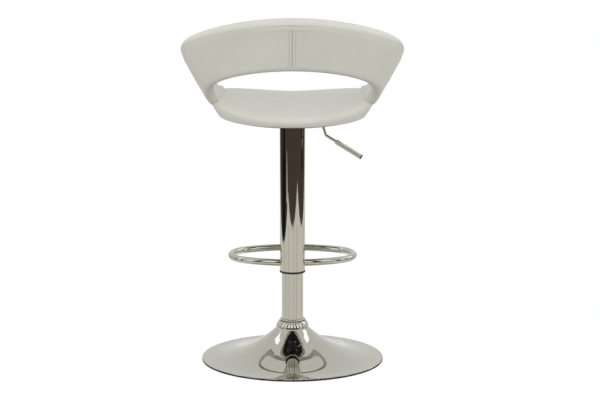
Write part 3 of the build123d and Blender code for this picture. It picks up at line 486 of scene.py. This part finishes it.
def seat_surface(angles, steps, inset):
    """Points of the seat cover as rings from the middle of the top, over the edge, under the
    side, and up into the space for the board. steps multiplies the number of rings."""
    ray = np.stack([np.cos(angles), np.sin(angles), np.zeros_like(angles)], axis=-1)
    lift = np.array([0.0, 0.0, 1.0])
    edge = seat_outline(angles)[:, None] - inset
    foot = 1 / np.hypot(ray[:, 0] / SEAT_FOOT_HALF_WIDTH, ray[:, 1] / SEAT_FOOT_DEPTH)
    foot = foot[:, None] - inset

    def dish(points):
        bow = (SEAT_DISH_HALF_WIDTH ** 2 + SEAT_DISH ** 2) / (2 * SEAT_DISH)
        rise = bow - np.sqrt(bow ** 2 - points[..., 0] ** 2)
        level = np.minimum(SEAT_EDGE_Z - SEAT_DISH + rise, SEAT_EDGE_Z) - inset
        return points * np.array([1.0, 1.0, 0.0]) + level[..., None] * lift

    def share(count, closed=False):
        return np.linspace(0, 1, count * steps + 1)[: None if closed else -1]

    top_corner = dish(ray * edge)
    foot_corner = ray * foot + lift * (SEAT_FOOT_Z + inset)
    slope = foot_corner - top_corner
    side = np.linalg.norm(slope, axis=-1, keepdims=True)
    slope = slope / side
    rearward = np.clip(-ray[:, 1:2], 0, 1)
    rolled = SEAT_TOP_ROUND + (SEAT_REAR_ROUND - SEAT_TOP_ROUND) * rearward
    top_start = dish(ray * (edge - rolled))
    side_start = top_corner + slope * np.minimum(rolled, side * SEAT_ROLL_SHARE)
    side_end = foot_corner - slope * SEAT_FOOT_ROUND
    under_start = foot_corner - ray * SEAT_FOOT_ROUND
    under_end = ray * BOARD_SPACE_RADIUS + lift * (SEAT_FOOT_Z + inset)
    wall_end = ray * BOARD_SPACE_RADIUS + lift * BOARD_SPACE_TOP
    inward = share(18) * (1 - SEAT_POLE_SHARE) + SEAT_POLE_SHARE
    rings = [
        dish(ray[None] * (edge - rolled)[None] * inward[:, None, None]),
        bent(top_start, top_corner, side_start, share(6)),
        side_start + (side_end - side_start) * share(6)[:, None, None],
        bent(side_end, foot_corner, under_start, share(3)),
        under_start + (under_end - under_start) * share(2)[:, None, None],
        under_end + (wall_end - under_end) * share(2)[:, None, None],
        wall_end + (lift * BOARD_SPACE_TOP - wall_end) * share(4)[:, None, None] * SEAT_WELL_SHARE,
    ]
    counts = [len(part) for part in rings]
    return np.concatenate(rings), counts


def dress_seat(cover):
    """The seat's padded cover, swollen by cloth pressure above its side."""
    coarse_angles = np.linspace(0, 2 * np.pi, SEAT_COLUMNS_COARSE, endpoint=False)
    coarse, counts = seat_surface(coarse_angles, 1, SEAT_FULLNESS)
    held = np.zeros(coarse.shape[:2], bool)
    held[sum(counts[:3]):] = True
    shift = swell("seat_filling", coarse, held, SEAT_PRESSURE, SEAT_FULLNESS)
    fine_angles = np.linspace(0, 2 * np.pi, SEAT_COLUMNS_FINE, endpoint=False)
    grid, _ = seat_surface(fine_angles, SEAT_STEPS_FINE, SEAT_FULLNESS)
    rows = np.arange(len(grid)) / SEAT_STEPS_FINE
    around = coarse_angles / (2 * np.pi)
    grid = grid + carry(shift, np.arange(len(coarse)), around, rows, fine_angles / (2 * np.pi))
    seat = closed_tube("seat_cover", grid)
    finish_soft(seat, cover, "seat_cushion")


# ------------------------------------------------------------------------ small trim
def mould_lips():
    """Round lips of the sleeve and the base, each a turned ring with small bevels outside."""
    turns = np.linspace(0, 2 * np.pi, LIP_STEPS, endpoint=False)
    for name, (body, finish, radius, foot, height) in RUBBER_LIPS.items():
        inner, outer = radius - LIP_GRIP, radius + LIP_PROUD
        top = foot + height
        profile = np.array(
            [
                (inner, foot),
                (outer - LIP_EDGE, foot),
                (outer, foot + LIP_EDGE),
                (outer, top - LIP_EDGE),
                (outer - LIP_EDGE, top),
                (inner, top),
            ]
        )
        reach, level = profile.T
        points = np.stack(
            [
                np.outer(np.cos(turns), reach),
                np.outer(np.sin(turns), reach),
                np.broadcast_to(level, (LIP_STEPS, len(profile))),
            ],
            axis=-1,
        ).reshape(-1, 3)
        faces = tube_faces(LIP_STEPS + 1, len(profile)) % len(points)
        lip = put_mesh(name, points, faces.tolist(), smooth=False)
        lip.data.materials.append(bpy.data.materials[finish])
        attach(lip, body)


# ------------------------------------------------------------------------- materials
def start_material(name, metallic, specular=0.5):
    """A material with its surface shader and the piece's own coordinates."""
    made = bpy.data.materials.new(name)
    made.use_nodes = True
    tree = made.node_tree
    shader = tree.nodes["Principled BSDF"]
    shader.inputs["Metallic"].default_value = metallic
    shader.inputs["Specular IOR Level"].default_value = specular
    place = tree.nodes.new("ShaderNodeTexCoord").outputs["Object"]
    return made, tree, shader, place


def cloud(tree, place, scale, detail=4.0, distortion=0.0):
    """Soft noise with so many lumps to the metre, from 0 to 1."""
    node = tree.nodes.new("ShaderNodeTexNoise")
    node.inputs["Scale"].default_value = scale
    node.inputs["Detail"].default_value = detail
    node.inputs["Distortion"].default_value = distortion
    tree.links.new(place, node.inputs["Vector"])
    return node.outputs["Fac"]


def stretched(tree, place, scale):
    """The coordinates stretched along each axis."""
    node = tree.nodes.new("ShaderNodeMapping")
    node.inputs["Scale"].default_value = scale
    tree.links.new(place, node.inputs["Vector"])
    return node.outputs["Vector"]


def between(tree, value, low, high, start=0.3, end=0.7):
    """The value carried from start .. end to low .. high."""
    node = tree.nodes.new("ShaderNodeMapRange")
    for socket, number in (("From Min", start), ("From Max", end), ("To Min", low), ("To Max", high)):
        node.inputs[socket].default_value = number
    tree.links.new(value, node.inputs["Value"])
    return node.outputs["Result"]


def tint(tree, value, first, second):
    """A colour that goes from the first to the second with the value."""
    node = tree.nodes.new("ShaderNodeMix")
    node.data_type = "RGBA"
    node.inputs["A"].default_value = (*first, 1.0)
    node.inputs["B"].default_value = (*second, 1.0)
    tree.links.new(value, node.inputs["Factor"])
    return node.outputs["Result"]


def relief(tree, shader, height, distance, strength=1.0):
    """Bump of the given height in metres."""
    node = tree.nodes.new("ShaderNodeBump")
    node.inputs["Distance"].default_value = distance
    node.inputs["Strength"].default_value = strength
    tree.links.new(height, node.inputs["Height"])
    tree.links.new(node.outputs["Normal"], shader.inputs["Normal"])


def added(tree, first, second, share):
    """first plus a share of second."""
    node = tree.nodes.new("ShaderNodeMath")
    node.operation = "MULTIPLY_ADD"
    tree.links.new(second, node.inputs[0])
    node.inputs[1].default_value = share
    tree.links.new(first, node.inputs[2])
    return node.outputs["Value"]


def leatherette():
    """Warm white coated cloth: pebbled grain, soft clouds of colour and a dull shine."""
    made, tree, shader, place = start_material("leatherette", 0.0, 0.35)
    clouds = between(tree, cloud(tree, place, 9.0, 3.0), 0.0, 1.0)
    colour = tint(tree, clouds, (0.655, 0.645, 0.585), (0.615, 0.605, 0.545))
    tree.links.new(colour, shader.inputs["Base Color"])
    pebbles = tree.nodes.new("ShaderNodeTexVoronoi")
    pebbles.feature = "SMOOTH_F1"
    pebbles.inputs["Scale"].default_value = 950.0
    pebbles.inputs["Smoothness"].default_value = 0.6
    tree.links.new(place, pebbles.inputs["Vector"])
    grain = added(tree, pebbles.outputs["Distance"], cloud(tree, place, 2600.0, 2.0), 0.35)
    relief(tree, shader, grain, 0.00010, 0.5)
    tree.links.new(between(tree, cloud(tree, place, 300.0), 0.40, 0.52), shader.inputs["Roughness"])
    return made


def sewing_thread():
    """Off-white twisted thread."""
    made, tree, shader, place = start_material("sewing_thread", 0.0, 0.3)
    twist = cloud(tree, place, 3500.0, 1.0)
    tree.links.new(tint(tree, twist, (0.56, 0.55, 0.49), (0.68, 0.67, 0.61)), shader.inputs["Base Color"])
    relief(tree, shader, twist, 0.0001, 0.6)
    shader.inputs["Roughness"].default_value = 0.7
    return made


def metal(name, bright, dull, smooth, rough, streaks, depth, lumps=40.0):
    """Plated or bare metal: clouds from bright to dull, and a roughness and a fine relief
    that follow scratches stretched by the streak scales."""
    made, tree, shader, place = start_material(name, 1.0)
    clouds = between(tree, cloud(tree, place, lumps, 3.0), 0.0, 1.0)
    tree.links.new(tint(tree, clouds, bright, dull), shader.inputs["Base Color"])
    scratches = cloud(tree, stretched(tree, place, streaks), 1.0, 5.0)
    tree.links.new(between(tree, scratches, smooth, rough), shader.inputs["Roughness"])
    relief(tree, shader, scratches, depth, 0.4)
    return made


def dark_finish(name, colour, worn, smooth, rough, lumps, depth, specular=0.4):
    """Paint, rubber or moulded plastic: a fine pitted relief, and worn colour in its clouds."""
    made, tree, shader, place = start_material(name, 0.0, specular)
    clouds = between(tree, cloud(tree, place, lumps / 20, 5.0), 0.0, 1.0, 0.45, 0.75)
    tree.links.new(tint(tree, clouds, colour, worn), shader.inputs["Base Color"])
    pits = cloud(tree, place, lumps, 4.0)
    tree.links.new(between(tree, pits, smooth, rough), shader.inputs["Roughness"])
    relief(tree, shader, pits, depth, 0.6)
    return made


def plywood():
    """Raw plywood: long grain across and thin plies through its thickness."""
    made, tree, shader, place = start_material("plywood", 0.0, 0.3)
    grain = cloud(tree, stretched(tree, place, (260.0, 14.0, 260.0)), 1.0, 6.0, 0.6)
    plies = tree.nodes.new("ShaderNodeTexWave")
    plies.bands_direction = "Z"
    plies.inputs["Scale"].default_value = 100.0
    plies.inputs["Distortion"].default_value = 0.4
    tree.links.new(place, plies.inputs["Vector"])
    pattern = added(tree, grain, plies.outputs["Fac"], 0.25)
    colour = tint(tree, between(tree, pattern, 0.0, 1.0), (0.62, 0.47, 0.30), (0.42, 0.28, 0.15))
    tree.links.new(colour, shader.inputs["Base Color"])
    tree.links.new(between(tree, grain, 0.55, 0.8), shader.inputs["Roughness"])
    relief(tree, shader, grain, 0.0003, 0.5)
    return made


def dress_solids():
    """Gives every node of the solid model the finish of its slot."""
    finishes = {
        "chrome": metal("chrome_plate", (0.545, 0.54, 0.475), (0.515, 0.51, 0.45), 0.02, 0.06,
                        (500.0, 500.0, 60.0), 0.000004),
        "polished_steel": metal("ground_steel", (0.62, 0.62, 0.63), (0.52, 0.52, 0.53), 0.14, 0.26,
                                (60.0, 60.0, 2600.0), 0.00002),
        "plain_steel": metal("zinc_plate", (0.56, 0.57, 0.58), (0.40, 0.41, 0.43), 0.28, 0.48,
                             (420.0, 420.0, 420.0), 0.00006),
        "black_paint": dark_finish("powder_coat", (0.022, 0.022, 0.024), (0.045, 0.044, 0.043),
                                   0.38, 0.55, 900.0, 0.00012),
        "cast_weight": dark_finish("raw_casting", (0.11, 0.11, 0.115), (0.20, 0.16, 0.13),
                                   0.6, 0.85, 420.0, 0.0006),
        "black_rubber": dark_finish("black_rubber", (0.006, 0.006, 0.006), (0.014, 0.014, 0.013),
                                    0.7, 0.9, 1400.0, 0.0001, 0.12),
        "black_plastic": dark_finish("black_plastic", (0.009, 0.009, 0.010), (0.017, 0.017, 0.018),
                                     0.38, 0.52, 1800.0, 0.00005, 0.2),
        "plywood": plywood(),
    }
    slots = {part["node"]: part["material_slot"] for part in frame["record"]["subparts"]}
    for name, solid in nodes.items():
        if slots[name] not in finishes:
            continue
        solid.data.materials.clear()
        solid.data.materials.append(finishes[slots[name]])
    for name in ("seat_cushion", "back_cushion"):
        nodes[name].data.materials.clear()
        nodes[name].data.materials.append(bpy.data.materials["leatherette"])


# ---------------------------------------------------------------------------- studio
# A sheet of white paper on the floor and dark cloths round it, which only the chrome mirrors
PAPER_LEFT = -1.24
PAPER_RIGHT = 1.45
PAPER_REAR = -1.45
PAPER_FRONT = 6.0
ROOM_HALF = 9.0
FLOOR_HALF = 40.0
FLOOR_LEVEL = -0.0006
PAPER_LIFT = 0.001            # each layer lies a little above the one below
CLOTH_LIFT = 0.002
SHEET_LIFT = 0.003
BLACK_SHEETS = (              # corners of the black sheets on the cloths
    ((-1.24, -0.58), (-1.24, 0.31), (-9.0, 2.24), (-9.0, -4.20)),
    ((2.2, -0.08), (9.0, -0.31), (8.7, 2.18), (2.1, 0.53)),
)
PAPER_TONGUE = ((-1.22, -1.26), (-1.42, -1.03), (-1.96, -1.47), (-1.89, -1.56))
WALL_HEIGHT = 2.2
# Painted shade on the paper: darker wedges where folds would shade it. The paper has no folds, and only
# the chrome mirrors the wedges
SHADE_NEAR = 0.35
SHADE_FAR = 1.45
PAINTED_SHADE_WEDGES = ((-75, 2.0), (-35, 1.6), (11, 1.3), (41, 2.2), (112, 3.0))   # heading, half width

# What stands about the room: heading in degrees from the camera, half width, foot and top
STAND_FAR = 2.4
STANDS = (
    (-92, 0.10, 0.0, 3.0),
    (-66, 0.14, 0.0, 4.2),
    (-41, 0.18, 0.0, 3.4),
    (-17, 0.12, 0.0, 4.6),
    (6, 0.16, 0.0, 3.8),
    (29, 0.20, 0.0, 4.8),
    (54, 0.13, 0.0, 3.6),
    (80, 0.15, 0.0, 4.0),
)
WINDOW_FAR = 3.0
REAR_WINDOWS = tuple((heading, 0.95, 0.9, 3.4) for heading in (-72, -36, 0, 36, 72))
SIDE_WINDOWS = ((115, 0.40, 1.2, 5.4), (-119, 0.34, 3.3, 5.6))

# Lamps: place, what it faces, size and power
AIR_LIGHT = 0.73
LAMPS = {
    "top_lamp": ((0.0, -0.6, 3.2), (0.0, 0.0, 0.4), 2.4, 11.0),
    "rear_lamp": ((-1.0, -4.2, 2.2), (0.0, 0.0, 0.6), 1.8, 40.0),
    "left_lamp": ((-3.6, -1.2, 1.3), (0.0, 0.0, 0.6), 1.6, 30.0),
    "right_lamp": ((3.6, -1.2, 1.3), (0.0, 0.0, 0.6), 1.6, 43.0),
}

CAMERA_PLACE = (0.0, -8.0, 2.110)
CAMERA_AIM = (0.0174, 0.0, 0.3775)
CAMERA_LENS = 212.7


def looking(tree):
    """One for the rays that show a thing or its mirror image, nought for those that light."""
    rays = tree.nodes.new("ShaderNodeLightPath")
    seen = rays.outputs["Is Camera Ray"]
    for kind in ("Is Glossy Ray", "Is Transmission Ray"):
        either = tree.nodes.new("ShaderNodeMath")
        either.operation = "MAXIMUM"
        tree.links.new(seen, either.inputs[0])
        tree.links.new(rays.outputs[kind], either.inputs[1])
        seen = either.outputs["Value"]
    return seen


def seen_surface(name, lit, shown, strength, share):
    """A stage finish: plain lit colour, mixed with an even glow for the rays that see it."""
    made = bpy.data.materials.new(name)
    made.use_nodes = True
    tree = made.node_tree
    shader = tree.nodes["Principled BSDF"]
    shader.inputs["Base Color"].default_value = (*lit, 1.0)
    shader.inputs["Roughness"].default_value = 0.9
    glow = tree.nodes.new("ShaderNodeEmission")
    glow.inputs["Color"].default_value = (*shown, 1.0)
    glow.inputs["Strength"].default_value = strength
    part = tree.nodes.new("ShaderNodeMath")
    part.operation = "MULTIPLY"
    part.inputs[1].default_value = share
    tree.links.new(looking(tree), part.inputs[0])
    blend = tree.nodes.new("ShaderNodeMixShader")
    tree.links.new(part.outputs["Value"], blend.inputs["Fac"])
    tree.links.new(shader.outputs["BSDF"], blend.inputs[1])
    tree.links.new(glow.outputs["Emission"], blend.inputs[2])
    tree.links.new(blend.outputs["Shader"], tree.nodes["Material Output"].inputs["Surface"])
    return made


def stage_panel(name, corners, finish, seen_by_camera):
    """A flat four-cornered piece of the studio."""
    panel = put_mesh(name, np.array(corners, float), [[0, 1, 2, 3]], smooth=False)
    panel.data.materials.append(finish)
    if not seen_by_camera:
        panel.visible_camera = False
        panel.visible_diffuse = False
        panel.visible_shadow = False


def level_panel(name, low, high, height, finish, seen_by_camera):
    """A level rectangle from its low to its high corner."""
    corners = [
        (low[0], low[1], height),
        (high[0], low[1], height),
        (high[0], high[1], height),
        (low[0], high[1], height),
    ]
    stage_panel(name, corners, finish, seen_by_camera)


def heading_axes(degrees):
    """The level directions out along a heading, which is 0 at the camera, and across it."""
    angle = math.radians(degrees)
    toward = np.array([math.sin(angle), -math.cos(angle), 0.0])
    return toward, np.array([toward[1], -toward[0], 0.0])


def upright_panels(name, places, far, finish):
    """Upright rectangles round the stool, each facing it from its heading."""
    for number, (angle, half_width, foot, top) in enumerate(places):
        toward, aside = heading_axes(angle)
        left = far * toward - half_width * aside
        right = far * toward + half_width * aside
        low, high = np.array([0.0, 0.0, foot]), np.array([0.0, 0.0, top])
        corners = [left + low, right + low, right + high, left + high]
        stage_panel(f"{name}_{number}", corners, finish, False)


def paint_paper_shades(finish):
    """Long thin wedges on the paper, each a painted shade where one of its folds would lie; only the
    chrome mirrors them.
    """
    for number, (angle, half_width) in enumerate(PAINTED_SHADE_WEDGES):
        toward, aside = heading_axes(angle)
        opening = aside * math.tan(math.radians(half_width))
        left, right = toward - opening, toward + opening
        corners = [left * SHADE_NEAR, left * SHADE_FAR, right * SHADE_FAR, right * SHADE_NEAR]
        level = np.array([0.0, 0.0, CLOTH_LIFT])
        stage_panel(f"fold_{number}", [corner + level for corner in corners], finish, False)


def build_studio():
    """White floor, paper, cloths, stands and windows. Only the floor is seen by the camera."""
    white = seen_surface("white_floor", (0.44, 0.44, 0.43), (1.0, 1.0, 1.0), 1.08, 0.9)
    far = FLOOR_HALF
    level_panel("floor", (-far, -far), (far, far), FLOOR_LEVEL, white, True)
    paper = seen_surface("warm_paper", (0.8, 0.8, 0.8), (0.88, 0.85, 0.83), 1.0, 1.0)
    level_panel("paper", (PAPER_LEFT, PAPER_REAR), (PAPER_RIGHT, PAPER_FRONT), PAPER_LIFT, paper, False)
    brown = seen_surface("brown_cloth", (0.03, 0.02, 0.015), (0.088, 0.066, 0.053), 1.0, 1.0)
    black = seen_surface("black_cloth", (0.01, 0.01, 0.01), (0.011, 0.012, 0.016), 1.0, 1.0)
    rear = PAPER_REAR
    level_panel("cloth_rear", (PAPER_LEFT, -ROOM_HALF), (ROOM_HALF, rear), CLOTH_LIFT, brown, False)
    level_panel("cloth_right", (PAPER_RIGHT, rear), (ROOM_HALF, PAPER_FRONT), CLOTH_LIFT, brown, False)
    level_panel("cloth_left", (-ROOM_HALF, -ROOM_HALF), (PAPER_LEFT, PAPER_FRONT), CLOTH_LIFT,
                brown, False)
    for number, sheet in enumerate(BLACK_SHEETS):
        stage_panel(f"cloth_dark_{number}", [(x, y, SHEET_LIFT) for x, y in sheet], black, False)
    stage_panel("paper_tongue", [(x, y, SHEET_LIFT) for x, y in PAPER_TONGUE], paper, False)
    wall = [(-ROOM_HALF, -ROOM_HALF, 0), (ROOM_HALF, -ROOM_HALF, 0)]
    wall += [(x, y, WALL_HEIGHT) for x, y, _ in wall[::-1]]
    stage_panel("cloth_wall", wall, brown, False)
    pale = seen_surface("pale_window", (0.8, 0.8, 0.8), (1.0, 1.0, 0.98), 1.3, 1.0)
    bright = seen_surface("bright_window", (0.8, 0.8, 0.8), (1.0, 1.0, 0.98), 1.9, 1.0)
    upright_panels("stand", STANDS, STAND_FAR, brown)
    upright_panels("rear_window", REAR_WINDOWS, WINDOW_FAR, pale)
    upright_panels("side_window", SIDE_WINDOWS, WINDOW_FAR, bright)
    # Painted shade: the grey glow of the wedges stands in for shade along folds of the paper
    wedge_shade = seen_surface("paper_fold", (0.3, 0.3, 0.3), (0.52, 0.47, 0.45), 1.0, 1.0)
    paint_paper_shades(wedge_shade)
    light_the_air()


def light_the_air():
    """Even light from all round, and a slightly brighter air for the rays that see it."""
    world = bpy.data.worlds.new("studio_air")
    bpy.context.scene.world = world
    world.use_nodes = True
    tree = world.node_tree
    ground = tree.nodes["Background"]
    ground.inputs["Color"].default_value = (1.0, 1.0, 1.0, 1.0)
    ground.inputs["Strength"].default_value = AIR_LIGHT
    seen_world = tree.nodes.new("ShaderNodeBackground")
    seen_world.inputs["Strength"].default_value = 1.0
    blend = tree.nodes.new("ShaderNodeMixShader")
    tree.links.new(looking(tree), blend.inputs["Fac"])
    tree.links.new(ground.outputs["Background"], blend.inputs[1])
    tree.links.new(seen_world.outputs["Background"], blend.inputs[2])
    tree.links.new(blend.outputs["Shader"], tree.nodes["World Output"].inputs["Surface"])


def face(holder, place, aim):
    """Puts a lamp or a camera in its place, looking at its aim."""
    holder.location = place
    holder.rotation_euler = (Vector(aim) - Vector(place)).to_track_quat("-Z", "Y").to_euler()
    bpy.context.scene.collection.objects.link(holder)


def hang_lamps():
    """Square soft lamps that leave no spot on the chrome."""
    for name, (place, aim, size, power) in LAMPS.items():
        light = bpy.data.lights.new(name, "AREA")
        light.shape = "SQUARE"
        light.size = size
        light.energy = power
        lamp = bpy.data.objects.new(name, light)
        lamp.visible_glossy = False
        face(lamp, place, aim)


def set_camera():
    """The long-lens view from behind the sitter, a little above the seat."""
    camera = bpy.data.cameras.new("view")
    camera.sensor_width = 36.0
    camera.lens = CAMERA_LENS
    camera.clip_end = 100.0
    holder = bpy.data.objects.new("view", camera)
    face(holder, CAMERA_PLACE, CAMERA_AIM)
    bpy.context.scene.camera = holder


# ----------------------------------------------------------------------------- build
cover = leatherette()
dress_solids()
mould_lips()
dress_band(cover, sewing_thread())
dress_seat(cover)
build_studio()
hang_lamps()
set_camera()
bpy.context.scene.view_settings.view_transform = "Standard"
